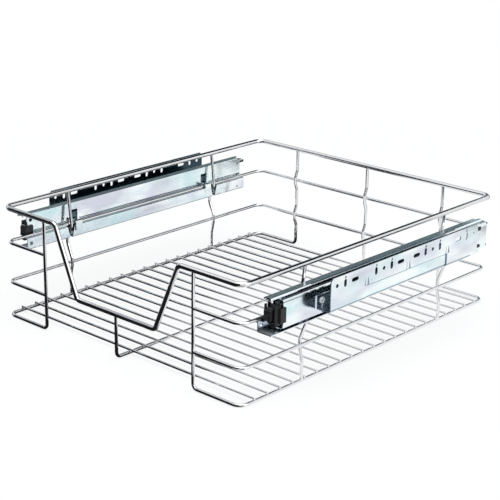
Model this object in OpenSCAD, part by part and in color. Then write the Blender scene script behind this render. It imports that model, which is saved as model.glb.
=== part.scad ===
// Pull-out wire basket for a kitchen base cabinet, with ball-bearing runners and side brackets.
// Millimetres. X runs across the cabinet, the front of the basket faces -Y, +Z is up.
// The origin is under the middle of the basket, at the underside of its bottom wires.

/* [Cabinet] */
// Inside width of the cabinet between its side panels
cabinet_w = 464; // [380:0.5:980]
// Room at each side for the runner and its bracket, measured from the side rim's centre line
side_space = 38.3; // [34:0.1:60]

/* [Basket] */
// Number of floor wires, front to back
floor_count = 21; // [9:1:31]
// Distance from one floor wire to the next
floor_pitch = 20.7; // [15:0.1:35]
// Height of the top rim above the bottom wires, centre to centre
rim_h = 137.3; // [100:0.1:220]
// Height of the second rim above the bottom wires
second_rim_h = 93.4; // [70:0.1:160]
// Height of the third rim above the bottom wires
third_rim_h = 42.7; // [25:0.1:60]
// Distance of the front posts from the middle
post_x = 123; // [90:1:300]
// Row of the floor, counted from the middle, next to which the side wires stand
side_row = 6; // [2:1:12]

/* [Handle dip in the top rim] */
// Half width of the dip at the top
dip_top = 102; // [60:1:260]
// Half width of the dip at the bottom
dip_bottom = 65; // [30:1:200]
// Depth of the dip
dip_h = 84.5; // [40:0.5:110]

/* [Wire] */
// Diameter of the top rim's wire
rim_d = 6; // [4:0.1:8]
// Diameter of the other frame wires
wire_d = 4; // [3:0.1:5.5]
// Diameter of the floor wires
floor_d = 3; // [2:0.1:4]
// Bend radius at the corners of the rims
corner_r = 11; // [7:0.5:40]
// Bend radius at the feet of the posts and of the centre wire
foot_r = 6; // [5:0.5:20]
// Bend radius of the dip
dip_r = 7; // [5:0.5:20]
// Depth that crossing wires sink into each other at a weld
weld = 0.3; // [0.1:0.05:0.6]
// Depth that the end of a wire sinks into the wire that it is welded to
end_weld = 0.75; // [0.4:0.05:1.5]

/* [Runner] */
// Length of the cabinet member
slide_len = 380; // [300:1:600]
// Height of the runner
slide_h = 35; // [32:0.5:46]
// Distance that the basket comes out of the cabinet
travel = 370; // [200:5:500]
// Thickness of the runner's sheet steel
slide_t = 1.2; // [1:0.1:1.5]
// Diameter of the bearing balls
ball_d = 3; // [2.5:0.1:4]
// Clearance between a ball and each of its tracks
ball_gap = 0.15; // [0.1:0.05:0.3]
// Clearance between the webs of members and cages that slide past each other
web_gap = 0.3; // [0.2:0.05:0.6]
// Thickness of the ball cages
cage_t = 0.5; // [0.4:0.1:0.8]
// Number of balls in each row of a cage
ball_n = 10; // [4:1:16]
// Distance from the last ball of a row to the end of its cage
ball_end = 4; // [3:0.5:10]
// Length by which the cages fall short of the members' overlap in the open runner
cage_short = 32; // [16:1:60]
// Width of the inner member's flanges
flange_w = 7.5; // [6.5:0.1:10]
// Place of the runner's middle in front of or behind the middle of the basket
slide_y = 7.5; // [-20:0.5:20]

/* [Carrier rail on the basket] */
// Length by which the carrier is longer than the runner's members
carrier_over = 9; // [0:0.5:40]
// Thickness of the carrier's sheet steel
carrier_t = 1.2; // [1:0.1:2]
// Height of the web above the shelf that the second rim lies on
carrier_up = 27.5; // [24:0.5:32]
// Height of the face below that shelf
carrier_down = 13.8; // [11:0.1:18]
// Distance that the shelf reaches under the rim
shelf_in = 3.3; // [2.5:0.1:6]
// Width of the top flange
carrier_flange = 8.8; // [7:0.1:14]
// Depth of the lip on that flange's outer edge
carrier_lip = 2.8; // [1.8:0.1:3]
// Width of each clamping tongue
tongue_w = 10; // [6:0.5:14]

/* [Cabinet brackets] */
// Length of each bracket
bracket_len = 276; // [240:1:420]
// Height of the bracket's outer plate
bracket_h = 39.6; // [36:0.1:60]
// Thickness of the bracket's sheet steel
bracket_t = 1.2; // [1:0.1:2]
// Distance from the bracket's end to the last round hole
hole_end = 10; // [7:0.5:20]
// Distance between neighbours in each group of holes, from a round hole to an upright slot
hole_step = 14; // [11:0.5:16]
// Distance from an upright slot to the long slot beside it
long_step = 17; // [15:0.5:20]
// Distance from the bracket's middle to the two inner round holes
inner_hole = 46; // [40:0.5:50]
// Width of the screw slots
slot_w = 4.5; // [3.5:0.1:5.5]
// Length of the slots that run along the bracket
slot_long = 12; // [8:0.5:13]
// Length of the upright slots
slot_up = 9; // [6:0.5:9.5]
// Diameter of the marking hole over each upright slot
dot_d = 3.2; // [2:0.1:3.5]
// Diameter of the rivets
rivet_d = 4; // [3:0.5:5]

/* [Output] */
// Sub-part to draw

/* [Hidden] */
$fa = 6;
$fs = 0.35;

// Colours
chrome_c = [0.80, 0.81, 0.83];
zinc_c = [0.78, 0.84, 0.87];
member_c = [0.72, 0.77, 0.80];
cage_c = [0.70, 0.73, 0.74];
ball_c = [0.70, 0.71, 0.73];
plastic_c = [0.06, 0.06, 0.07];

// Basket frame
half_w = cabinet_w / 2 - side_space;
half_d = (floor_count + 1) * floor_pitch / 2;
z_low = wire_d / 2;
z_third = z_low + third_rim_h;
z_second = z_low + second_rim_h;
z_top = z_low + rim_h;
rim_out = (rim_d - wire_d) / 2;
beside = wire_d - weld;
seam = 0.01;
lap = 0.15;
floor_z = z_low + (wire_d + floor_d) / 2 - weld;
floor_over = 1.4;
under_rim = rim_d / 2 - end_weld;
side_y = side_row * floor_pitch + (wire_d + floor_d) / 2 + 1.3;

// Runner, as distances u outwards from the side rim and heights z over the floor
carrier_in = 4.6;
u_face = carrier_in + carrier_t;
shelf_z = z_second - wire_d / 2 + weld / 2 - carrier_t / 2;
foot_z = shelf_z - carrier_down;
slide_z = shelf_z + 6.5;
cab_in = slide_h / 2 - slide_t;
mid_out = cab_in - ball_d - 2 * ball_gap;
mid_in = mid_out - slide_t;
inner_out = mid_in - ball_d - 2 * ball_gap;
outer_row = mid_out + ball_gap + ball_d / 2;
inner_row = inner_out + ball_gap + ball_d / 2;
u_tip = u_face + flange_w;
u_cage_in = u_tip + web_gap;
u_mid = u_cage_in + cage_t + web_gap;
u_cage_out = u_mid + slide_t + web_gap;
u_cab = u_cage_out + cage_t + web_gap;
u_back = u_cab + slide_t;
mid_tip = u_face + 2 * slide_t;
u_ball = (mid_tip + u_tip) / 2;
cab_tip = u_face + 1.4;

// Lengthwise places: f is a front end, r a rear end
cab_f = slide_y - slide_len / 2;
cab_r = slide_y + slide_len / 2;
mid_f = cab_f - 1.5;
mid_r = cab_r - 11;
inner_f = cab_f - 12.5;
inner_r = inner_f + slide_len;
carrier_len = slide_len + carrier_over;
carrier_y = slide_y - 12;
carrier_f = carrier_y - carrier_len / 2;
cage_len = slide_len - travel / 2 - cage_short;
outer_y = ((mid_r - travel / 2) + cab_f) / 2 + travel / 4;
inner_y = ((inner_r - travel) + (mid_f - travel / 2)) / 2 + travel * 3 / 4;
ball_pitch = (cage_len - 2 * ball_end) / (ball_n - 1);

// Bracket
u_plate = side_space - bracket_t / 2;
u_up = u_back + bracket_t / 2;
bracket_z = slide_z - 8.2;
plate_top = bracket_z - bracket_t / 2 + bracket_h;
row_z = plate_top - 9.8;
crease_z = bracket_z + 15.5;
step_in = 1.4;
bracket_y = slide_y + 1.5;

// ---- Wires ----

function unit(v) = v / norm(v);
function across(v) = abs(v.z) < 0.9 ? unit(cross([0, 0, 1], v)) : unit(cross([1, 0, 0], v));
function turn(a, b) = acos(max(-1, min(1, a * b)));

// A straight round rod from a to b.
module rod(a, b, d) {
  w = unit(b - a);
  u = across(w);
  v = cross(w, u);
  multmatrix([
    [u.x, v.x, w.x, a.x],
    [u.y, v.y, w.y, a.y],
    [u.z, v.z, w.z, a.z],
    [0, 0, 0, 1]
  ])
    cylinder(d = d, h = norm(b - a));
}

// A bend of radius r that starts at p along w and turns towards v by the angle a.
module bend(p, w, v, a, d, r) {
  n = cross(w, v);
  c = p + r * v;
  multmatrix([
    [-v.x, w.x, n.x, c.x],
    [-v.y, w.y, n.y, c.y],
    [-v.z, w.z, n.z, c.z],
    [0, 0, 0, 1]
  ])
    rotate_extrude(angle = a)
      translate([r, 0])
        circle(d = d);
}

// A wire of diameter d along a path, with one bend radius for each point of the path.
// Each straight length is a hair thicker than the bends and reaches a little way into them.
module wire(path, radii, d, closed = false) {
  n = len(path);
  last = closed ? n - 1 : n - 2;
  way = [for (i = [0 : n - 1]) unit(path[(i + 1) % n] - path[i])];
  ang = [for (i = [0 : n - 1])
    (!closed && (i == 0 || i == n - 1)) ? 0 : turn(way[(i + n - 1) % n], way[i])];
  trim = [for (i = [0 : n - 1]) radii[i] * tan(ang[i] / 2)];
  for (i = [0 : last]) {
    j = (i + 1) % n;
    a = path[i] + way[i] * (trim[i] - (ang[i] > 0.01 ? lap : 0));
    b = path[j] - way[i] * (trim[j] - (ang[j] > 0.01 ? lap : 0));
    rod(a, b, d + 2 * seam);
  }
  for (i = [0 : n - 1]) {
    if (ang[i] > 0.01) {
      before = way[(i + n - 1) % n];
      side = unit(way[i] - before * (before * way[i]));
      bend(path[i] - before * trim[i], before, side, ang[i], d, radii[i]);
    }
  }
}

// The jog by which an upright wire at the back passes inside a rim at height z.
function jog(x, z) = [
  [x, half_d, z - 14],
  [x, half_d - beside, z - 5],
  [x, half_d - beside, z + 5],
  [x, half_d, z + 14]
];
jog_r = [6, 6, 6, 6];

module top_rim() {
  w = half_w + rim_out;
  d = half_d + rim_out;
  color(chrome_c)
    wire(
      [
        [-w, -d, z_top], [-dip_top, -d, z_top], [-dip_bottom, -d, z_top - dip_h],
        [dip_bottom, -d, z_top - dip_h], [dip_top, -d, z_top], [w, -d, z_top],
        [w, d, z_top], [-w, d, z_top]
      ],
      [corner_r, dip_r, dip_r, dip_r, dip_r, corner_r, corner_r, corner_r],
      rim_d, true);
}

// A rim at height z whose two ends are welded to the sides of the front posts.
module side_rim(z) {
  x = post_x + wire_d / 2 - end_weld;
  color(chrome_c)
    wire(
      [
        [-x, -half_d, z], [-half_w, -half_d, z], [-half_w, half_d, z],
        [half_w, half_d, z], [half_w, -half_d, z], [x, -half_d, z]
      ],
      [0, corner_r, corner_r, corner_r, corner_r, 0],
      wire_d);
}

module second_rim() {
  side_rim(z_second);
}

module third_rim() {
  side_rim(z_third);
}

// Front post, bottom wire and rear upright, bent from one wire; s is 1 for the right side.
module bottom_wire(s) {
  x = s * post_x;
  color(chrome_c)
    wire(
      concat(
        [
          [x, -half_d, z_top - under_rim], [x, -half_d, z_low], [s * half_w, -half_d, z_low],
          [s * half_w, half_d, z_low], [x, half_d, z_low]
        ],
        jog(x, z_third),
        jog(x, z_second),
        [[x, half_d, z_top - under_rim]]
      ),
      concat([0, foot_r, corner_r, corner_r, foot_r], jog_r, jog_r, [0]),
      wire_d);
}

module left_bottom_wire() {
  bottom_wire(-1);
}

module right_bottom_wire() {
  bottom_wire(1);
}

module centre_support_wire() {
  color(chrome_c)
    wire(
      concat(
        [
          [0, -half_d, z_top - dip_h - under_rim], [0, -half_d, z_low], [0, half_d, z_low]
        ],
        jog(0, z_third),
        jog(0, z_second),
        [[0, half_d, z_top - under_rim]]
      ),
      concat([0, foot_r, foot_r], jog_r, jog_r, [0]),
      wire_d);
}

module floor_wires() {
  reach = half_w + floor_over;
  color(chrome_c)
    for (i = [0 : floor_count - 1]) {
      y = (i - (floor_count - 1) / 2) * floor_pitch;
      rod([-reach, y, floor_z], [reach, y, floor_z], floor_d);
    }
}

// The two upright wires of one side: inside the second rim, through the carrier and inside the
// third rim, down to the bottom wire.
module side_wires(s) {
  out = foot_z - carrier_t / 2 - 1;
  color(chrome_c)
    for (y = [-side_y, side_y]) {
      wire(
        [
          [s * (half_w + rim_out), y, z_top - under_rim],
          [s * (half_w - beside), y, z_second + 3],
          [s * (half_w - beside), y, z_second - 3],
          [s * (half_w + 4.5), y, out],
          [s * (half_w + 4.5), y, out - 7],
          [s * (half_w - beside), y, z_third + 5],
          [s * (half_w - beside), y, z_third - 3],
          [s * half_w, y, z_third - 20],
          [s * half_w, y, z_low + wire_d / 2 - weld]
        ],
        [0, 8, 6, 6, 8, 8, 8, 8, 0],
        wire_d);
    }
}

module left_side_wires() {
  side_wires(-1);
}

module right_side_wires() {
  side_wires(1);
}

// ---- Sheet metal ----

function left_of(v) = [-v.y, v.x];

// The points of a path with each inner corner rounded to its own radius in r, in six steps.
function rounded(p, r) = [
  for (i = [0 : len(p) - 1])
    let (
      inner = i > 0 && i < len(p) - 1,
      a = inner ? unit(p[i] - p[i - 1]) : [1, 0],
      b = inner ? unit(p[i + 1] - p[i]) : [1, 0],
      t = inner ? turn(a, b) : 0,
      ri = is_list(r) ? r[i] : r,
      k = ri * tan(t / 2),
      side = t > 0.5 ? unit(b - a * (a * b)) : [0, 0]
    )
    each (t > 0.5
      ? [for (j = [0 : 6])
          let (g = t * j / 6)
          p[i] - a * k + side * ri * (1 - cos(g)) + a * ri * sin(g)]
      : [p[i]])
];

function shifted(p, i, o) =
  let (
    n = len(p),
    a = unit(i > 0 ? p[i] - p[i - 1] : p[1] - p[0]),
    b = unit(i < n - 1 ? p[i + 1] - p[i] : p[n - 1] - p[n - 2]),
    m = unit(left_of(a) + left_of(b))
  )
  p[i] + m * o / (m * left_of(a));

// The outline of a sheet of thickness t along a path in (u, z), bent to the radius r.
module sheet(path, t, r) {
  p = rounded(path, r);
  n = len(p) - 1;
  polygon(concat(
    [for (i = [0 : n]) shifted(p, i, t / 2)],
    [for (i = [n : -1 : 0]) shifted(p, i, -t / 2)]
  ));
}

// Places a shape drawn with u as x on the side s of the basket.
module on_side(s) {
  if (s > 0) {
    translate([half_w, 0, 0])
      children();
  } else {
    mirror([1, 0, 0])
      translate([half_w, 0, 0])
        children();
  }
}

// Extrudes a (u, z) outline from y = a to y = b.
module along(a, b) {
  translate([0, b, 0])
    rotate([90, 0, 0])
      linear_extrude(b - a)
        children();
}

// A hole of diameter d through sheet at (y, z), from u = a to u = b.
module across_hole(a, b, y, z, d) {
  translate([a, y, z])
    rotate([0, 90, 0])
      cylinder(d = d, h = b - a);
}

// ---- Carrier ----

tongue_y = side_y - tongue_w / 2 - 7;
rivet_rows = [-150, 0, 150];

// The notch through which a side wire passes from inside the rim to the outside.
module wire_notch(y) {
  hw = wire_d / 2 + 0.6;
  low = foot_z - carrier_t;
  translate([-shelf_in - carrier_t - 2, y, 0])
    rotate([90, 0, 90])
      linear_extrude(shelf_in + carrier_t + 2 + u_face + 1.2)
        polygon([
          [-hw - 3.6, shelf_z + 0.9], [hw + 3.6, shelf_z + 0.9], [hw, foot_z + 2.5],
          [hw, low], [-hw, low], [-hw, foot_z + 2.5]
        ]);
}

module carrier(s) {
  top = shelf_z + carrier_up;
  web = carrier_in + carrier_t / 2;
  face = -shelf_in;
  front = carrier_f;
  rear = carrier_y + carrier_len / 2;
  color(zinc_c)
    on_side(s) {
      difference() {
        along(front, rear)
          sheet(
            [
              [web + carrier_flange, top + carrier_t / 2 - carrier_lip],
              [web + carrier_flange, top], [web, top],
              [web, shelf_z], [face, shelf_z], [face, foot_z], [u_tip + 2.6, foot_z]
            ],
            carrier_t, 0.8);
        for (y = [-side_y, side_y]) {
          wire_notch(y);
        }
        for (y = [-tongue_y, tongue_y]) {
          translate([carrier_in - 1, y - tongue_w / 2 - 0.4, shelf_z + 3.4])
            cube([carrier_t + 2, tongue_w + 0.8, 15]);
        }
        for (y = rivet_rows) {
          across_hole(carrier_in - 1, u_face + 1, carrier_y + y, slide_z, rivet_d + 0.1);
        }
        across_hole(carrier_in - 1, u_face + 1, front + 12, shelf_z + 20, 5);
        across_hole(carrier_in - 1, u_face + 1, rear - 5, shelf_z + 20, 2.6);
        across_hole(carrier_in - 1, u_face + 1, rear - 6, shelf_z + 4, 3);
        across_hole(face - 2, face + 2, front + 5.5, shelf_z - 7, 5);
        across_hole(face - 2, face + 2, rear - 14, shelf_z - 9.5, 2.6);
        translate([-20, rear, top + 1])
          rotate([45, 0, 0])
            cube([60, 9, 9], center = true);
        plug_notch(carrier_in - 1, u_face + 0.4);
        translate([carrier_in - 1, front - 1, plug_low])
          cube([carrier_t + 1.4, 7, top - 2 - plug_low]);
      }
      for (y = [-tongue_y, tongue_y]) {
        along(y - tongue_w / 2, y + tongue_w / 2)
          sheet(
            [
              [web, shelf_z], [web, z_second + 4.1], [face - carrier_t - 0.1, z_second + 4.1],
              [face - carrier_t - 0.1, shelf_z - 6.5]
            ],
            carrier_t, 2.4);
      }
    }
}

module left_carrier() {
  carrier(-1);
}

module right_carrier() {
  carrier(1);
}

module carrier_rivets(s) {
  color(member_c)
    on_side(s)
      for (y = rivet_rows) {
        across_hole(carrier_in, u_face + slide_t + 0.8, carrier_y + y, slide_z, rivet_d);
        across_hole(u_face + slide_t, u_face + slide_t + 0.8, carrier_y + y, slide_z, rivet_d + 2);
      }
}

module left_carrier_rivets() {
  carrier_rivets(-1);
}

module right_carrier_rivets() {
  carrier_rivets(1);
}

// ---- End plugs ----

plug_len = 14.5;
plug_h = 12.5;
plug_low = shelf_z + 1;
plug_gap = 0.1;

// The notch in the front ends of the carrier's and the inner member's webs, from u = a to u = b.
module plug_notch(a, b) {
  translate([a, carrier_f - 1, plug_low])
    cube([b - a, plug_len + 1, plug_h]);
}

// Black plug in both notches, with a hook on the carrier's web and a tongue in the inner member.
module end_plug(s) {
  low = plug_low + plug_gap;
  high = plug_low + plug_h - plug_gap;
  in = carrier_in - 1.8;
  f = carrier_f + 1.6;
  r = carrier_f + plug_len - plug_gap;
  u_in = u_face + slide_t + plug_gap;
  color(plastic_c)
    on_side(s) {
      translate([in, 0, 0])
        rotate([90, 0, 90])
          linear_extrude(u_tip - 0.6 - in)
            polygon([
              [f, low], [r, low], [r, high], [f + 2.2, high], [f + 0.6, high - 1.6], [f + 0.6, low + 3]
            ]);
      translate([in, f + 1.4, high - 1])
        cube([carrier_in - plug_gap - in, 2.6, 6.4]);
      translate([u_in, r - 1, low + 1])
        cube([2, 9, high - low - 2]);
    }
}

module left_end_plug() {
  end_plug(-1);
}

module right_end_plug() {
  end_plug(1);
}

// ---- Runner members, cages and balls ----

module inner_member(s) {
  h = inner_out - slide_t / 2;
  web = u_face + slide_t / 2;
  color(member_c)
    on_side(s)
      difference() {
        along(inner_f, inner_r)
          sheet(
            [
              [u_tip, slide_z - h], [web, slide_z - h], [web, slide_z + h],
              [u_tip, slide_z + h]
            ],
            slide_t, 1.2);
        for (y = rivet_rows) {
          across_hole(u_face - 1, u_face + slide_t + 1, carrier_y + y, slide_z, rivet_d + 0.1);
        }
        plug_notch(u_face - 1, u_face + slide_t + 0.4);
      }
}

module left_inner_member() {
  inner_member(-1);
}

module right_inner_member() {
  inner_member(1);
}

module middle_member(s) {
  h = mid_out - slide_t / 2;
  web = u_mid + slide_t / 2;
  color(member_c)
    on_side(s)
      along(mid_f, mid_r)
        sheet(
          [
            [mid_tip, slide_z - h], [web, slide_z - h], [web, slide_z + h],
            [mid_tip, slide_z + h]
          ],
          slide_t, 1.4);
}

module left_middle_member() {
  middle_member(-1);
}

module right_middle_member() {
  middle_member(1);
}

module cabinet_member(s) {
  h = slide_h / 2 - slide_t / 2;
  web = u_cab + slide_t / 2;
  color(zinc_c)
    on_side(s)
      difference() {
        along(cab_f, cab_r)
          sheet(
            [
              [cab_tip + slide_t / 2, slide_z - h + 1.5], [cab_tip + slide_t / 2, slide_z - h],
              [web, slide_z - h], [web, slide_z + h],
              [cab_tip + slide_t / 2, slide_z + h], [cab_tip + slide_t / 2, slide_z + h - 1.5]
            ],
            slide_t, [0, 0.9, 3.9, 3.9, 0.9, 0]);
        for (y = bracket_rivets) {
          across_hole(u_cab - 1, u_back + 1, bracket_y + y, slide_z, rivet_d + 0.1);
        }
        for (z = stop_lugs) {
          translate([u_cab - 1, cab_r - 19.8, slide_z + z - 1.5])
            cube([slide_t + 2, 5.2, 3]);
        }
      }
}

module left_cabinet_member() {
  cabinet_member(-1);
}

module right_cabinet_member() {
  cabinet_member(1);
}

// The places of the balls in a cage whose middle is at y.
function ball_rows(y) = [for (i = [0 : ball_n - 1]) y + (i - (ball_n - 1) / 2) * ball_pitch];

// A bent strip with its web at u, its two ball rows at the height row from the middle.
module cage(s, y, u, row, reach) {
  color(cage_c)
    on_side(s)
      difference() {
        along(y - cage_len / 2, y + cage_len / 2)
          sheet(
            [
              [reach, slide_z - row], [u + cage_t / 2, slide_z - row],
              [u + cage_t / 2, slide_z + row], [reach, slide_z + row]
            ],
            cage_t, 1.6);
        for (b = ball_rows(y)) {
          for (k = [-1, 1]) {
            translate([u_ball, b, slide_z + k * row - 1])
              cylinder(d = ball_d + 0.3, h = 2);
          }
        }
      }
}

module balls(s, y, row) {
  color(ball_c)
    on_side(s)
      for (b = ball_rows(y)) {
        for (k = [-1, 1]) {
          translate([u_ball, b, slide_z + k * row])
            sphere(d = ball_d);
        }
      }
}

module left_inner_cage() {
  cage(-1, inner_y, u_cage_in, inner_row, mid_tip + 0.6);
}

module right_inner_cage() {
  cage(1, inner_y, u_cage_in, inner_row, mid_tip + 0.6);
}

module left_outer_cage() {
  cage(-1, outer_y, u_cage_out, outer_row, cab_tip + slide_t + 0.6);
}

module right_outer_cage() {
  cage(1, outer_y, u_cage_out, outer_row, cab_tip + slide_t + 0.6);
}

module left_inner_balls() {
  balls(-1, inner_y, inner_row);
}

module right_inner_balls() {
  balls(1, inner_y, inner_row);
}

module left_outer_balls() {
  balls(-1, outer_y, outer_row);
}

module right_outer_balls() {
  balls(1, outer_y, outer_row);
}

// ---- Plastic stops ----

// Block on the front end of the middle member, open round the inner member, with a tongue that
// lies outside the cabinet member's web.
module front_buffer(s) {
  gap = 0.6;
  deep = 9.5;
  in = mid_tip + 0.8;
  low = slide_z - mid_out;
  high = slide_z + mid_out - 1;
  cut = 2.2;
  color(plastic_c)
    on_side(s)
      difference() {
        union() {
          intersection() {
            along(mid_f - deep, mid_f)
              polygon([
                [in, low], [u_cab - cut, low], [u_cab, low + cut], [u_cab, high - cut],
                [u_cab - cut, high], [in, high]
              ]);
            translate([0, 0, low - 1])
              linear_extrude(high - low + 2)
                polygon(rounded(
                  [[in - 1, mid_f - deep], [u_cab, mid_f - deep], [u_cab, mid_f], [in - 1, mid_f]],
                  [0, 3.4, 1.2, 0]));
          }
          translate([u_cab - 0.6, mid_f - 4.5, slide_z - 8.7])
            cube([u_back - u_cab + 2.2, 5.2, 17]);
          translate([u_back + 0.3, mid_f - 4.5, slide_z - 8.7])
            cube([1.3, 9, 17]);
          for (k = [-1, 1]) {
            translate([mid_tip + 1.2, mid_f - 1, slide_z + k * inner_row - 1.1])
              cube([4, 7, 2.2]);
          }
        }
        translate([-1, mid_f - deep - 1, slide_z - inner_out - gap])
          cube([u_tip + gap + 1, deep + 20, 2 * (inner_out + gap)]);
      }
}

module left_front_buffer() {
  front_buffer(-1);
}

module right_front_buffer() {
  front_buffer(1);
}

// Heights of the clip's lugs from the middle of the runner
stop_lugs = [11.8, -10];

// Clip in the rear end of the cabinet member, with two hooks that stand out behind it and two
// thin arms whose lugs snap through the member's web.
module rear_stop(s) {
  depth = 6;
  gap = 0.1;
  tall = cab_in - gap;
  in = cab_tip + slide_t + 0.4;
  color(plastic_c)
    on_side(s) {
      for (z = stop_lugs) {
        translate([u_cab - 0.7, cab_r - 19.6, slide_z + z - 1.3])
          cube([0.6, 20.6 - depth, 2.6]);
        translate([u_cab - 0.7, cab_r - 19.6, slide_z + z - 1.3])
          cube([slide_t + 0.9, 4.8, 2.6]);
        translate([u_back + 0.1, cab_r - 20, slide_z + z - 1.6])
          cube([1.3, 5.6, z > 0 ? 4.6 : 3.2]);
      }
      translate([u_cab - 3, cab_r - depth, slide_z - tall + 3])
        cube([3 - gap, depth, 2 * tall - 6]);
      for (k = [-1, 1]) {
        translate([in, cab_r - depth, slide_z + k * (tall - 2.5) - 1.5])
          cube([u_cab - 1.2 - in, depth + 5, 3]);
      }
    }
}

module left_rear_stop() {
  rear_stop(-1);
}

module right_rear_stop() {
  rear_stop(1);
}

// ---- Brackets ----

rivet_end = 9;
bracket_rivets = [-bracket_len / 2 + rivet_end, 0, bracket_len / 2 - rivet_end];
// Places along one half of the bracket of the round holes, upright slots and long slots
last_hole = bracket_len / 2 - hole_end;
round_holes = [inner_hole, last_hole];
up_slots = [inner_hole - hole_step, inner_hole + hole_step, last_hole - hole_step];
long_slots = [inner_hole - hole_step - long_step, last_hole - hole_step - long_step];
// Places of the pressed steps in the plate
step_y = (long_slots[1] + up_slots[1]) / 2 - 2.5;
steps = [-step_y, 0, step_y];
// Depth at the crease of the groove over each step, and its radius
groove_in = 0.75;
groove_r = 11.8;

// A slot through the plate, centred at (y, z), with its ends w apart along y or z.
module slot(y, z, along_y, along_z) {
  translate([u_plate - 4, y, z])
    rotate([0, 90, 0]) {
      cube([max(along_z - slot_w, 0.01), max(along_y - slot_w, 0.01), 16], center = true);
      if (along_y > slot_w) {
        translate([0, -(along_y - slot_w) / 2, 0])
          cylinder(d = slot_w, h = 8);
        translate([0, (along_y - slot_w) / 2, 0])
          cylinder(d = slot_w, h = 8);
        cube([slot_w, along_y - slot_w, 16], center = true);
      }
      if (along_z > slot_w) {
        translate([-(along_z - slot_w) / 2, 0, 0])
          cylinder(d = slot_w, h = 8);
        translate([(along_z - slot_w) / 2, 0, 0])
          cylinder(d = slot_w, h = 8);
        cube([along_z - slot_w, slot_w, 16], center = true);
      }
    }
}

// The bracket's section, with the lower part of its plate set in by the distance d.
module bracket_section(d) {
  sheet(
    [
      [u_up, bracket_z + 15], [u_up, bracket_z], [u_plate - d, bracket_z],
      [u_plate - d, crease_z], [u_plate, crease_z + 1.2], [u_plate, plate_top]
    ],
    bracket_t, [0, 1.4, 4.5, 1, 1, 0]);
}

module bracket(s) {
  h = bracket_len / 2;
  color(zinc_c)
    on_side(s)
      translate([0, bracket_y, 0])
        difference() {
          union() {
            along(-h, steps[0])
              bracket_section(0.02);
            along(steps[0], steps[1])
              bracket_section(step_in / 2);
            along(steps[1], steps[2])
              bracket_section(step_in);
            along(steps[2], h)
              bracket_section(0.02);
            for (y = bracket_rivets) {
              across_hole(u_up, u_up + bracket_t / 2 + 0.6, y + 1.5, slide_z - 6.5, 3.4);
            }
          }
          for (y = steps) {
            translate([u_plate + bracket_t / 2 + groove_r - groove_in, y, crease_z + 0.6])
              rotate([0, atan(groove_in / (row_z - crease_z)), 0])
                cylinder(r = groove_r, h = row_z + 2 - crease_z);
          }
          for (k = [-1, 1]) {
            for (y = up_slots) {
              slot(k * y, row_z, 0, slot_up);
              across_hole(u_plate - 4, u_plate + 4, k * y, row_z + slot_up / 2 + 2.2, dot_d);
            }
            for (y = long_slots) {
              slot(k * y, row_z, slot_long, 0);
            }
            for (y = round_holes) {
              across_hole(u_plate - 4, u_plate + 4, k * y, row_z, slot_w);
            }
          }
          for (y = bracket_rivets) {
            across_hole(u_up - 3, u_up + 3, y, slide_z, rivet_d + 0.1);
          }
          for (y = [-h, h]) {
            translate([u_plate, y, plate_top])
              rotate([45, 0, 0])
                cube([8, 5, 5], center = true);
          }
        }
}

module left_bracket() {
  bracket(-1);
}

module right_bracket() {
  bracket(1);
}

// Eyelet rivets that hold the bracket's upright flange to the cabinet member.
module bracket_rivet_set(s) {
  color(member_c)
    on_side(s)
      for (y = bracket_rivets) {
        difference() {
          union() {
            across_hole(u_cab, u_back + bracket_t + 0.5, bracket_y + y, slide_z, rivet_d);
            across_hole(u_back + bracket_t, u_back + bracket_t + 1, bracket_y + y, slide_z, rivet_d + 3);
          }
          across_hole(u_cab + 0.8, u_back + bracket_t + 2, bracket_y + y, slide_z, rivet_d - 1.6);
        }
      }
}

module left_bracket_rivets() {
  bracket_rivet_set(-1);
}

module right_bracket_rivets() {
  bracket_rivet_set(1);
}

top_rim();
second_rim();
third_rim();
left_bottom_wire();
right_bottom_wire();
centre_support_wire();
floor_wires();
left_side_wires();
right_side_wires();
left_carrier();
right_carrier();
left_carrier_rivets();
right_carrier_rivets();
left_inner_member();
right_inner_member();
left_end_plug();
right_end_plug();
left_middle_member();
right_middle_member();
left_front_buffer();
right_front_buffer();
left_inner_cage();
right_inner_cage();
left_inner_balls();
right_inner_balls();
left_outer_cage();
right_outer_cage();
left_outer_balls();
right_outer_balls();
left_cabinet_member();
right_cabinet_member();
left_rear_stop();
right_rear_stop();
left_bracket();
right_bracket();
left_bracket_rivets();
right_bracket_rivets();
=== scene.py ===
# Looks for a pull-out wire basket with ball-bearing runners and slotted side brackets.
# Metres. X runs across the cabinet, the front of the basket faces -Y, +Z is up.
import math

import bpy
from mathutils import Matrix, Vector

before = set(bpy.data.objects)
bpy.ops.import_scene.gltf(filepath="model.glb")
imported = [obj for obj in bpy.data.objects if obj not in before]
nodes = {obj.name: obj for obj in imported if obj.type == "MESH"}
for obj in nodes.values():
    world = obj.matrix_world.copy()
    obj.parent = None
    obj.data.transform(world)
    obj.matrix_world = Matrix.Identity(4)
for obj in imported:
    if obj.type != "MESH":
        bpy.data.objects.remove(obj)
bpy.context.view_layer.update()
scene = bpy.context.scene
SIDES = ("left", "right")
COLOR = "NodeSocketColor"
FLOAT = "NodeSocketFloat"


# ---- Camera ----

# Turn from the basket's front to its right, height above level and lean of the camera, in degrees
CAMERA_TURN = 42.27
CAMERA_TILT = 18.83
CAMERA_ROLL = 0.88
# Way from the floor under the basket's middle: back, aside, up in the camera's view, and straight up
CAMERA_BACK = 1.8038
CAMERA_ASIDE = -0.0012
CAMERA_LIFT = 0.0705
CAMERA_RISE = 0.002
# Focal length and image width in pixels, sensor width in millimetres, and how far the camera sees
FOCAL_PIXELS = 1435.2
IMAGE_PIXELS = 500
SENSOR_WIDTH = 36
CAMERA_REACH = 50


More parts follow.
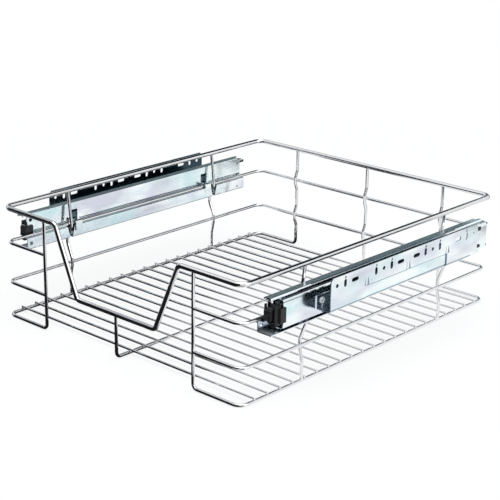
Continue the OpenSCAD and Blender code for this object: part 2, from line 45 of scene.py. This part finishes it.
def place_camera():
    cam = bpy.data.objects.new("camera", bpy.data.cameras.new("camera"))
    scene.collection.objects.link(cam)
    turn, tilt, roll = (math.radians(a) for a in (CAMERA_TURN, CAMERA_TILT, CAMERA_ROLL))
    back = Vector((math.sin(turn) * math.cos(tilt), -math.cos(turn) * math.cos(tilt), math.sin(tilt)))
    across = Vector((math.cos(turn), math.sin(turn), 0))
    up = back.cross(across)
    side = across * math.cos(roll) + up * math.sin(roll)
    top = up * math.cos(roll) - across * math.sin(roll)
    place = back * CAMERA_BACK + side * CAMERA_ASIDE + top * CAMERA_LIFT + Vector((0, 0, CAMERA_RISE))
    cam.matrix_world = Matrix((
        (side.x, top.x, back.x, place.x),
        (side.y, top.y, back.y, place.y),
        (side.z, top.z, back.z, place.z),
        (0, 0, 0, 1)))
    cam.data.sensor_fit = "HORIZONTAL"
    cam.data.sensor_width = SENSOR_WIDTH
    cam.data.lens = FOCAL_PIXELS / IMAGE_PIXELS * SENSOR_WIDTH
    cam.data.clip_end = CAMERA_REACH
    scene.camera = cam


# ---- Shader helpers ----

def feed(tree, socket, value):
    """Link an output to the socket, or set the socket to a plain value."""
    if isinstance(value, bpy.types.NodeSocket):
        tree.links.new(value, socket)
    else:
        socket.default_value = value


def node(tree, kind, inputs=None, **settings):
    """A new node with its settings, then its inputs by name or number."""
    n = tree.nodes.new(kind)
    for key, value in settings.items():
        setattr(n, key, value)
    for label, value in (inputs or {}).items():
        feed(tree, n.inputs[label], value)
    return n


def calc(tree, operation, *values):
    """The output of a math node whose inputs are sockets or numbers."""
    return node(tree, "ShaderNodeMath", dict(enumerate(values)), operation=operation).outputs[0]


def ramp(tree, value, start, end, at_start=0.0, at_end=1.0, **settings):
    """The value carried from one range to another, and held at the ends."""
    inputs = {"Value": value, "From Min": start, "From Max": end, "To Min": at_start, "To Max": at_end}
    return node(tree, "ShaderNodeMapRange", inputs, **settings).outputs[0]


def noise(tree, where, scale, detail):
    inputs = {"Vector": where, "Scale": scale, "Detail": detail}
    return node(tree, "ShaderNodeTexNoise", inputs).outputs[0]


def mapped(tree, where, **changes):
    """Texture coordinates after a scale, shift or turn."""
    inputs = {"Vector": where, **{label.capitalize(): value for label, value in changes.items()}}
    return node(tree, "ShaderNodeMapping", inputs).outputs["Vector"]


def blend(tree, mask, plain, other):
    """The first colour where the mask is 0 and the other where it is 1."""
    inputs = {"Factor": mask, "A": plain, "B": other}
    return node(tree, "ShaderNodeMix", inputs, data_type="RGBA").outputs["Result"]


def highest(tree, *values):
    """The largest of some sockets."""
    top = values[0]
    for v in values[1:]:
        top = calc(tree, "MAXIMUM", top, v)
    return top


def product(tree, *values):
    """The product of some sockets or numbers."""
    result = values[0]
    for v in values[1:]:
        result = calc(tree, "MULTIPLY", result, v)
    return result


def effect_group(name, ins, outs):
    """A node group whose sockets are given as (name, kind, value) and (name, kind)."""
    g = bpy.data.node_groups.new(name, "ShaderNodeTree")
    for label, kind, value in ins:
        s = g.interface.new_socket(name=label, in_out="INPUT", socket_type=kind)
        s.default_value = value
    for label, kind in outs:
        g.interface.new_socket(name=label, in_out="OUTPUT", socket_type=kind)
    return g, g.nodes.new("NodeGroupInput").outputs, g.nodes.new("NodeGroupOutput")


def use_group(tree, name, **values):
    """One use of an effect group. An underscore in a value's name stands for a space."""
    n = node(tree, "ShaderNodeGroup", node_tree=bpy.data.node_groups[name])
    for label, value in values.items():
        feed(tree, n.inputs[label.replace("_", " ")], value)
    return n.outputs


# ---- Effects that several finishes share ----

# Scale of the clouds, rolling lines and scratches in X, Y and Z. A small Y draws them out lengthwise.
CLOUD_SCALE = (1.0, 0.35, 1.0)
LINE_SCALE = (1.0, 0.02, 1.0)
SCRATCH_SCALE = (1.0, 0.12, 1.0)
# Slant of the scratches in radians
SCRATCH_SLANT = (0.5, 0.0, 0.4)
# Shift from the cool clouds to the warm ones
CLOUD_SHIFT = (3.1, 1.7, 5.2)
# Noise values between which a cloud and a scratch fade in
CLOUD_FROM, CLOUD_TO = 0.4, 0.68
SCRATCH_FROM, SCRATCH_TO = 0.62, 0.66
# Height of a scratch, where that of a line is 1
SCRATCH_HEIGHT = -0.6


def plating_tint_group():
    """Cloudy shift between three plating colours, as passivated zinc shows it."""
    g, i, o = effect_group(
        "plating_tint",
        [("Base", COLOR, (0.8, 0.8, 0.8, 1)), ("Cool", COLOR, (0.6, 0.7, 0.8, 1)),
         ("Warm", COLOR, (0.8, 0.7, 0.8, 1)), ("Scale", FLOAT, 20.0), ("Amount", FLOAT, 0.5)],
        [("Color", COLOR), ("Clouds", FLOAT)])
    at = node(g, "ShaderNodeTexCoord").outputs["Object"]
    along = mapped(g, at, scale=CLOUD_SCALE)
    clouds = noise(g, along, i["Scale"], detail=3)
    others = noise(g, mapped(g, along, location=CLOUD_SHIFT), i["Scale"], detail=2)
    cool = product(g, ramp(g, clouds, CLOUD_FROM, CLOUD_TO), i["Amount"])
    warm = product(g, ramp(g, others, CLOUD_FROM, CLOUD_TO), i["Amount"])
    cooled = blend(g, cool, i["Base"], i["Cool"])
    feed(g, o.inputs["Color"], blend(g, warm, cooled, i["Warm"]))
    feed(g, o.inputs["Clouds"], clouds)


def rolled_grain_group():
    """Height of the fine lines along the strip with small handling scratches."""
    g, i, o = effect_group(
        "rolled_grain",
        [("Lines", FLOAT, 900.0), ("Scratches", FLOAT, 60.0)],
        [("Height", FLOAT)])
    at = node(g, "ShaderNodeTexCoord").outputs["Object"]
    lines = noise(g, mapped(g, at, scale=LINE_SCALE), i["Lines"], detail=2)
    slanted = mapped(g, at, scale=SCRATCH_SCALE, rotation=SCRATCH_SLANT)
    scratches = ramp(g, noise(g, slanted, i["Scratches"], detail=4), SCRATCH_FROM, SCRATCH_TO)
    feed(g, o.inputs["Height"], calc(g, "MULTIPLY_ADD", scratches, SCRATCH_HEIGHT, lines))


# Share of the painted gap shade that is left at the foot of the sheet
GAP_AT_FOOT = 0.3
# Where along the runner the front part of the painted gap shade ends, and where the foot's tip, made less
# metallic as painted light, fades out
FRONT_PART_FROM, FRONT_PART_TO = -0.100, -0.085
FOOT_TIP_FROM, FOOT_TIP_TO = -0.195, -0.180
# A face looks inward or outward from this much of its normal's X times its place in X
SIDEWAYS = 0.05
# Least Y of the normal on the side of a groove, least Z on a fold and least Z on a level top
GROOVE_SLOPE = 0.15
FOLD_SLOPE = 0.25
LEVEL = 0.8


def sheet_painted_light_group():
    """Masks of painted shade and painted light for one upright sheet between two distances from the
    basket's middle.

    Gap is painted shade on its inner face, lighter towards its foot and front,
    and on the walls of the holes between the heights Row From and Row To.
    Press is painted shade on the sides of its grooves and crease. Edge is its outer face above Edge From.
    Foot is the front tip of the flange that lies below Foot To. Edge and Foot are made less metallic, as
    painted light.
    """
    g, i, o = effect_group(
        "sheet_painted_light",
        [("From", FLOAT, 0.22), ("To", FLOAT, 0.24), ("Row From", FLOAT, 0.115), ("Row To", FLOAT, 0.1295),
         ("Half Length", FLOAT, 0.134), ("Fade From", FLOAT, 0.0915), ("Fade To", FLOAT, 0.099),
         ("Front Part", FLOAT, 0.65), ("Edge From", FLOAT, 1.0), ("Foot To", FLOAT, 0.0)],
        [("Gap", FLOAT), ("Press", FLOAT), ("Edge", FLOAT), ("Foot", FLOAT)])

    def above(a, b):
        return calc(g, "GREATER_THAN", a, b)

    def below(a, b):
        return calc(g, "LESS_THAN", a, b)

    def size(a):
        return calc(g, "ABSOLUTE", a)

    at = node(g, "ShaderNodeTexCoord").outputs
    x, y, z = node(g, "ShaderNodeSeparateXYZ", {0: at["Object"]}).outputs
    turn_x, turn_y, turn_z = node(g, "ShaderNodeSeparateXYZ", {0: at["Normal"]}).outputs
    in_sheet = product(g, above(size(x), i["From"]), below(size(x), i["To"]))
    outwardness = product(g, turn_x, x)
    inward = below(outwardness, -SIDEWAYS)
    outward = above(outwardness, SIDEWAYS)
    between_ends = below(size(y), i["Half Length"])
    slanted = above(size(turn_y), GROOVE_SLOPE)
    # The painted gap shade is lighter towards the foot of the sheet and at the front of the runner
    by_height = ramp(g, z, i["Fade From"], i["Fade To"], GAP_AT_FOOT)
    by_place = ramp(g, y, FRONT_PART_FROM, FRONT_PART_TO, i["Front Part"])
    in_row = product(g, above(z, i["Row From"]), below(z, i["Row To"]))
    # Painted shade on the walls of the holes, so that they look black
    hole_wall = product(g, highest(g, slanted, above(size(turn_z), FOLD_SLOPE)), in_row, between_ends)
    gap = highest(g, product(g, inward, by_height, by_place), hole_wall)
    # Painted shade on the sides of the grooves and on the down-facing crease and folds
    press = product(g, highest(g, slanted, below(turn_z, -FOLD_SLOPE)), between_ends)
    # The edge and the foot's tip are later made less metallic, as painted light
    edge = product(g, outward, above(z, i["Edge From"]))
    tip = ramp(g, y, FOOT_TIP_FROM, FOOT_TIP_TO, 1.0, 0.0)
    for label, mask in (("Gap", gap), ("Press", press), ("Edge", edge)):
        feed(g, o.inputs[label], product(g, in_sheet, mask))
    feed(g, o.inputs["Foot"], product(g, below(z, i["Foot To"]), tip, above(turn_z, LEVEL)))


# ---- Finishes ----

# Values of the clouds between which the roughness changes, and by how much it falls below and rises
# above the finish's own
CLOUDS_LOW, CLOUDS_HIGH = 0.3, 0.7
SMOOTHER = 0.05
ROUGHER = 0.08
# Strength and depth of the rolled grain
GRAIN_STRENGTH = 0.12
GRAIN_DEPTH = 0.0002
# Painted shade on the pressed lines, painted shade in the gap behind a sheet and in its holes, and how
# much less metallic the tip of the foot is made, as painted light
PAINTED_PRESSED_LINE_SHADE = (0.20, 0.28, 0.34, 1)
PAINTED_GAP_SHADE = (0.08, 0.12, 0.15, 1)
FOOT_LIGHTENING = 0.35


def new_material(name):
    m = bpy.data.materials.new(name)
    m.use_nodes = True
    return m, m.node_tree, m.node_tree.nodes["Principled BSDF"].inputs


def plated_sheet(name, base, cool, warm, rough, amount, scale, metallic=1.0, painted_light=None):
    """Plated metal with clouds of two tints, and with painted shade and painted light where the sheet's
    settings are given.
    """
    m, t, surface = new_material(name)
    tint = use_group(t, "plating_tint", Base=(*base, 1), Cool=(*cool, 1), Warm=(*warm, 1),
                     Scale=scale, Amount=amount)
    color = tint["Color"]
    surface["Metallic"].default_value = metallic
    if painted_light:
        mask = use_group(t, "sheet_painted_light", **painted_light)
        # Painted shade on the pressed lines, then on the inner faces and the hole walls
        color = blend(t, mask["Press"], color, PAINTED_PRESSED_LINE_SHADE)
        color = blend(t, mask["Gap"], color, PAINTED_GAP_SHADE)
        # The carrier's edge and foot's tip lose metal so that they look light where the metal reflects
        # dark: painted light
        if "Edge_From" in painted_light:
            lightening = highest(t, mask["Edge"], product(t, mask["Foot"], FOOT_LIGHTENING))
            feed(t, surface["Metallic"], calc(t, "SUBTRACT", metallic, lightening))
    grain = use_group(t, "rolled_grain")
    bump = node(t, "ShaderNodeBump", {
        "Strength": GRAIN_STRENGTH, "Distance": GRAIN_DEPTH, "Height": grain["Height"]})
    feed(t, surface["Base Color"], color)
    feed(t, surface["Roughness"],
         ramp(t, tint["Clouds"], CLOUDS_LOW, CLOUDS_HIGH, rough - SMOOTHER, rough + ROUGHER))
    feed(t, surface["Normal"], bump.outputs["Normal"])
    return m


# Moulded plastic: scale of the grain and of the patches, their two shades, strength and depth of the
# grain, radius of the soft edges, roughness and gloss
MOULD_GRAIN = 1400
MOULD_PATCHES = 120
MOULD_DARK = (0.006, 0.006, 0.007, 1)
MOULD_LIGHT = (0.016, 0.015, 0.018, 1)
MOULD_STRENGTH = 0.25
MOULD_DEPTH = 0.0001
MOULD_EDGE = 0.0012
MOULD_ROUGH = 0.22
MOULD_GLOSS = 0.3


def moulded_black(name):
    m, t, surface = new_material(name)
    at = node(t, "ShaderNodeTexCoord").outputs["Object"]
    soft_edge = node(t, "ShaderNodeBevel", {"Radius": MOULD_EDGE}, samples=6)
    bump = node(t, "ShaderNodeBump", {
        "Strength": MOULD_STRENGTH, "Distance": MOULD_DEPTH, "Height": noise(t, at, MOULD_GRAIN, detail=3),
        "Normal": soft_edge.outputs["Normal"]})
    patches = noise(t, at, MOULD_PATCHES, detail=2)
    feed(t, surface["Base Color"], blend(t, patches, MOULD_DARK, MOULD_LIGHT))
    feed(t, surface["Normal"], bump.outputs["Normal"])
    surface["Roughness"].default_value = MOULD_ROUGH
    surface["Specular IOR Level"].default_value = MOULD_GLOSS
    return m


def dress(names, material):
    for n in names:
        slots = nodes[n].data.materials
        slots.clear()
        slots.append(material)


# ---- Studio ----

# Rectangles of the floor that are white in reflections, as (middle, half size)
LIT_FLOOR = [
    # From the basket's middle to beyond the right runner
    ((0.24, 0.16, 0.0), (0.29, 0.32, 1.0)),
    # Outside the front half of the right runner
    ((0.49, -0.22, 0.0), (0.19, 0.26, 1.0)),
    # Under the front part of the right runner, up to the front rims
    ((0.20, -0.17, 0.0), (0.10, 0.055, 1.0)),
    # In front of the right front corner
    ((0.195, -0.277, 0.0), (0.045, 0.022, 1.0)),
    # Under the left runner and outside it
    ((-0.265, 0.14, 0.0), (0.066, 0.32, 1.0)),
    # Far off at the rear left, front right and rear right
    ((-1.80, 1.30, 0.0), (1.35, 1.65, 1.0)),
    ((1.95, -1.35, 0.0), (1.25, 1.65, 1.0)),
    ((1.70, 1.85, 0.0), (1.50, 1.35, 1.0)),
]
# Width of the soft edge as a share of a half size, and the light of the floor elsewhere
LIT_EDGE = 0.1
DARK_FLOOR = 0.015
# Half width and height of the floor. It lies just under the wires.
FLOOR_HALF = 6
FLOOR_Z = -0.0002
# Paper: colour, roughness and gloss
PAPER = ((0.93, 0.93, 0.94), 0.9, 0.1)
# Share of plain white in the paper round the basket, and the distances between which it grows to 1
NEAR_WHITE = 0.8
WHITE_FROM = 0.5
WHITE_TO = 1.3
WHITE = (1, 1, 1, 1)

# Curved screens: name, cloth, from and to in degrees, radius, lower and upper edge
SCREENS = [
    ("dark_horizon", "black_cloth", 75, 380, 3.2, -0.1, 0.6),
    ("black_front", "black_cloth", 215, 304, 0.8, 0.0, 0.7),
    ("black_above", "black_cloth", 52, 125, 3.1, 2.2, 7.5),
    ("grey_rear_left", "grey_cloth", 96, 150, 3.0, 0.0, 2.2),
]
SCREEN_STEPS = 48
CLOTHS = {
    "black_cloth": (0.008, 0.009, 0.010),
    "grey_cloth": (0.16, 0.20, 0.20),
    "pale_cloth": (0.50, 0.50, 0.52),
}
# Level card in front of the basket on the left: x from and to, y from and to, height
CARD = (-1.2, -0.3, -0.9, -0.05, 0.5)

# Lamps: name, place, aim, side and power
LAMPS = [
    ("top_softbox", (0.2, -0.1, 2.2), (0, 0, 0.05), 1.8, 22),
    ("right_softbox", (2.2, 0.3, 1.2), (0, 0, 0.08), 1.4, 14),
]
SKY_COLOR = (0.93, 0.96, 1.0, 1)
SKY_STRENGTH = 0.75


def matt(name, color, rough, gloss):
    m, t, surface = new_material(name)
    surface["Base Color"].default_value = (*color, 1)
    surface["Roughness"].default_value = rough
    surface["Specular IOR Level"].default_value = gloss
    return m, t


def make_sky():
    """An even sky. Camera, glossy and transmission rays see plain white instead."""
    sky = bpy.data.worlds.new("studio")
    scene.world = sky
    sky.use_nodes = True
    t = sky.node_tree
    t.nodes.clear()
    light = node(t, "ShaderNodeBackground", {"Color": SKY_COLOR, "Strength": SKY_STRENGTH})
    seen = node(t, "ShaderNodeBackground", {"Color": WHITE, "Strength": 1.0})
    path = node(t, "ShaderNodeLightPath").outputs
    rays = highest(t, path["Is Camera Ray"], path["Is Glossy Ray"], path["Is Transmission Ray"])
    mix = node(t, "ShaderNodeMixShader", {0: rays, 1: light.outputs[0], 2: seen.outputs[0]})
    node(t, "ShaderNodeOutputWorld", {"Surface": mix.outputs[0]})


def add_lamp(name, place, aim, side, power):
    data = bpy.data.lights.new(name, "AREA")
    data.shape = "RECTANGLE"
    data.size = data.size_y = side
    data.energy = power
    o = bpy.data.objects.new(name, data)
    scene.collection.objects.link(o)
    o.location = place
    o.rotation_euler = (Vector(aim) - Vector(place)).to_track_quat("-Z", "Y").to_euler()


def add_stage(name, verts, faces, material):
    mesh = bpy.data.meshes.new(name)
    mesh.from_pydata(verts, [], faces)
    mesh.materials.append(material)
    o = bpy.data.objects.new(name, mesh)
    scene.collection.objects.link(o)
    return o


def add_level(name, x0, x1, y0, y1, z, material):
    return add_stage(name, [(x0, y0, z), (x1, y0, z), (x1, y1, z), (x0, y1, z)], [(0, 1, 2, 3)], material)


def only_in_reflections(o):
    o.visible_camera = False
    o.visible_diffuse = False
    o.visible_shadow = False
    o.visible_transmission = False
    o.visible_volume_scatter = False


def add_screen(name, material, start, end, radius, low, high):
    """A curved screen round the object, from one compass angle to another."""
    ring = [math.radians(start + (end - start) * i / SCREEN_STEPS) for i in range(SCREEN_STEPS + 1)]
    verts = [(radius * math.cos(a), radius * math.sin(a), z) for z in (low, high) for a in ring]
    n = len(ring)
    faces = [(i, i + 1, n + i + 1, n + i) for i in range(SCREEN_STEPS)]
    only_in_reflections(add_stage(name, verts, faces, material))


def lit_patch(t, where, middle, half):
    """1 inside a rectangle of the floor and DARK_FLOOR outside it, with a soft edge."""
    def vector(operation, *values):
        return node(t, "ShaderNodeVectorMath", dict(enumerate(values)), operation=operation).outputs[0]

    away = vector("ABSOLUTE", vector("DIVIDE", vector("SUBTRACT", where, middle), half))
    x, y, z = node(t, "ShaderNodeSeparateXYZ", {0: away}).outputs
    return ramp(t, highest(t, x, y), 1 - LIT_EDGE, 1 + LIT_EDGE, 1.0, DARK_FLOOR,
                interpolation_type="SMOOTHSTEP")


def make_floor():
    """White paper. In reflections it is lit round the basket, with a dark studio beyond."""
    m, t = matt("floor_paper", *PAPER)
    where = node(t, "ShaderNodeNewGeometry").outputs["Position"]
    patches = [lit_patch(t, where, middle, half) for middle, half in LIT_FLOOR]
    path = node(t, "ShaderNodeLightPath").outputs
    white = node(t, "ShaderNodeEmission", {
        "Color": WHITE, "Strength": highest(t, path["Is Camera Ray"], *patches)})
    distance = node(t, "ShaderNodeVectorMath", {0: where}, operation="LENGTH").outputs["Value"]
    far_white = ramp(t, distance, WHITE_FROM, WHITE_TO, NEAR_WHITE, interpolation_type="SMOOTHSTEP")
    through = highest(t, path["Is Camera Ray"], path["Is Transmission Ray"])
    share = highest(t, product(t, through, far_white), path["Is Glossy Ray"])
    paper = t.nodes["Principled BSDF"].outputs[0]
    mix = node(t, "ShaderNodeMixShader", {0: share, 1: paper, 2: white.outputs[0]})
    feed(t, t.nodes["Material Output"].inputs["Surface"], mix.outputs[0])
    add_level("floor", -FLOOR_HALF, FLOOR_HALF, -FLOOR_HALF, FLOOR_HALF, FLOOR_Z, m)


def make_studio():
    make_sky()
    make_floor()
    cloths = {name: matt(name, color, rough=1.0, gloss=0.0)[0] for name, color in CLOTHS.items()}
    for name, cloth, *shape in SCREENS:
        add_screen(name, cloths[cloth], *shape)
    only_in_reflections(add_level("pale_card", *CARD, cloths["pale_cloth"]))
    for lamp in LAMPS:
        add_lamp(*lamp)


# ---- Finishes of this basket ----

CHROME = {"base": (0.80, 0.81, 0.83), "cool": (0.72, 0.76, 0.82), "warm": (0.82, 0.80, 0.78),
          "rough": 0.06, "amount": 0.4, "scale": 30.0}
BLUE_ZINC = {"base": (0.94, 1.00, 1.00), "cool": (0.64, 0.87, 0.92), "warm": (0.68, 0.70, 0.80),
             "rough": 0.13, "amount": 0.9, "scale": 45.0}
RUNNER_STEEL = {"base": (0.78, 0.84, 0.87), "cool": (0.66, 0.78, 0.84), "warm": (0.82, 0.80, 0.86),
                "rough": 0.16, "amount": 0.6, "scale": 18.0}
EYELET = {"base": (0.86, 0.90, 0.92), "cool": (0.74, 0.82, 0.86), "warm": (0.84, 0.84, 0.88),
          "rough": 0.40, "amount": 0.6, "scale": 60.0, "metallic": 0.0}
BALL_STEEL = {"base": (0.8, 0.81, 0.83), "cool": (0.75, 0.78, 0.82), "warm": (0.82, 0.80, 0.79),
              "rough": 0.08, "amount": 0.3, "scale": 60.0}
# Where the sheets with painted shade stand, and what differs on each from the usual settings: painted
# shade on the carrier's lip, the bracket's plate and the inner member's inward web. Only the carriers have
# an edge and a foot that are made less metallic, as painted light.
CARRIER_LIP = {"From": 0.2078, "To": 0.2090, "Edge_From": 0.1192, "Foot_To": 0.085}
BRACKET_PLATE = {"From": 0.2200, "To": 0.2330}
INNER_WEB = {"From": 0.1990, "To": 0.2000, "Fade_From": 0.05, "Fade_To": 0.06, "Front_Part": 1.0}
BASKET_WIRES = ["top_rim", "second_rim", "third_rim", "left_bottom_wire", "right_bottom_wire",
                "centre_support_wire", "floor_wires", "left_side_wires", "right_side_wires"]

place_camera()
make_studio()
plating_tint_group()
rolled_grain_group()
sheet_painted_light_group()
dress(BASKET_WIRES, plated_sheet("bright_chrome", **CHROME))
FINISHES = [
    (["cabinet_member"], plated_sheet("blue_zinc", **BLUE_ZINC)),
    (["carrier"], plated_sheet("carrier_zinc_painted_light", **BLUE_ZINC, painted_light=CARRIER_LIP)),
    (["bracket"], plated_sheet("bracket_zinc_painted_shade", **BLUE_ZINC, painted_light=BRACKET_PLATE)),
    (["middle_member", "carrier_rivets", "inner_cage", "outer_cage"],
     plated_sheet("runner_steel", **RUNNER_STEEL)),
    (["inner_member"], plated_sheet("inner_steel_painted_shade", **RUNNER_STEEL, painted_light=INNER_WEB)),
    (["bracket_rivets"], plated_sheet("dull_eyelet", **EYELET)),
    (["inner_balls", "outer_balls"], plated_sheet("ball_steel", **BALL_STEEL)),
    (["front_buffer", "rear_stop", "end_plug"], moulded_black("black_plastic")),
]
for pieces, finish in FINISHES:
    dress([f"{side}_{piece}" for side in SIDES for piece in pieces], finish)

scene.view_settings.view_transform = "Standard"
